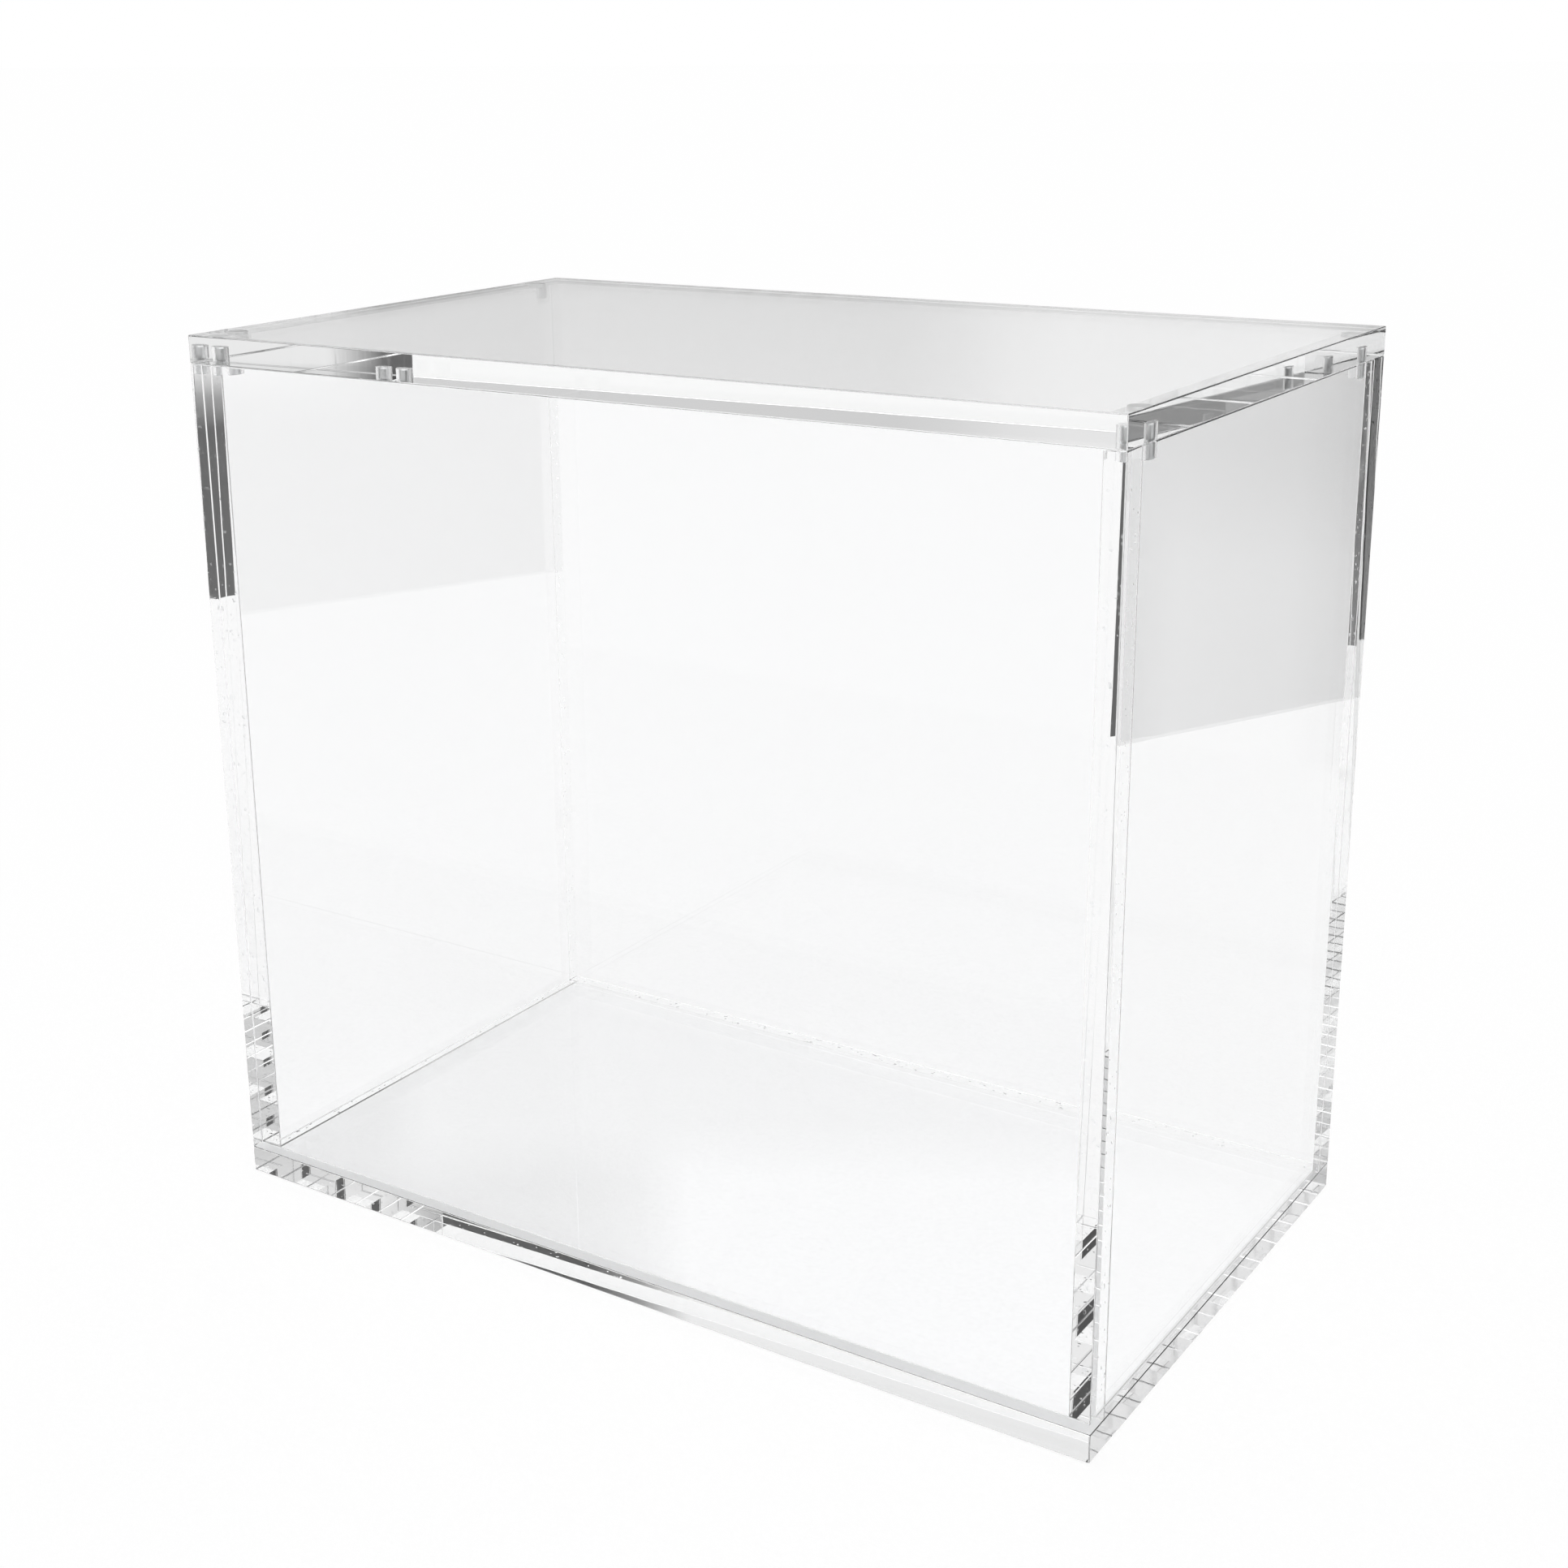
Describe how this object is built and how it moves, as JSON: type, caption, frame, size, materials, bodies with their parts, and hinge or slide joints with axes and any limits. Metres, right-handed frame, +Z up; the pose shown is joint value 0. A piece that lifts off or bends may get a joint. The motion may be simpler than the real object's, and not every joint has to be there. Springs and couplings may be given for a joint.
{
  "type": "acrylic card box display case",
  "caption": "Clear acrylic display case for a boxed set of card packs: base, four bonded walls and a lift-off magnetic lid.",
  "frame": {"origin": "centre of the base sheet's underside", "axes": "+X along the wide face, +Y from the front face to the back face, +Z up"},
  "size_m": [0.149, 0.088, 0.136],
  "materials": {
    "clear_acrylic": "clear polished",
    "magnet_nickel": "nickel plated"
  },
  "bodies": {
    "case": {"base_panel": "clear_acrylic", "front_panel": "clear_acrylic", "back_panel": "clear_acrylic", "left_panel": "clear_acrylic", "right_panel": "clear_acrylic", "case_magnet_left_front": "magnet_nickel", "case_magnet_left_back": "magnet_nickel", "case_magnet_right_front": "magnet_nickel", "case_magnet_right_back": "magnet_nickel"},
    "lid": {"lid_panel": "clear_acrylic", "lid_magnet_left_front": "magnet_nickel", "lid_magnet_left_back": "magnet_nickel", "lid_magnet_right_front": "magnet_nickel", "lid_magnet_right_back": "magnet_nickel"}
  },
  "joints": [
    {"name": "lid_lift", "type": "slide", "parent": "case", "child": "lid", "axis": [0, 0, 1], "range_m": [0, 0.14]}
  ]
}
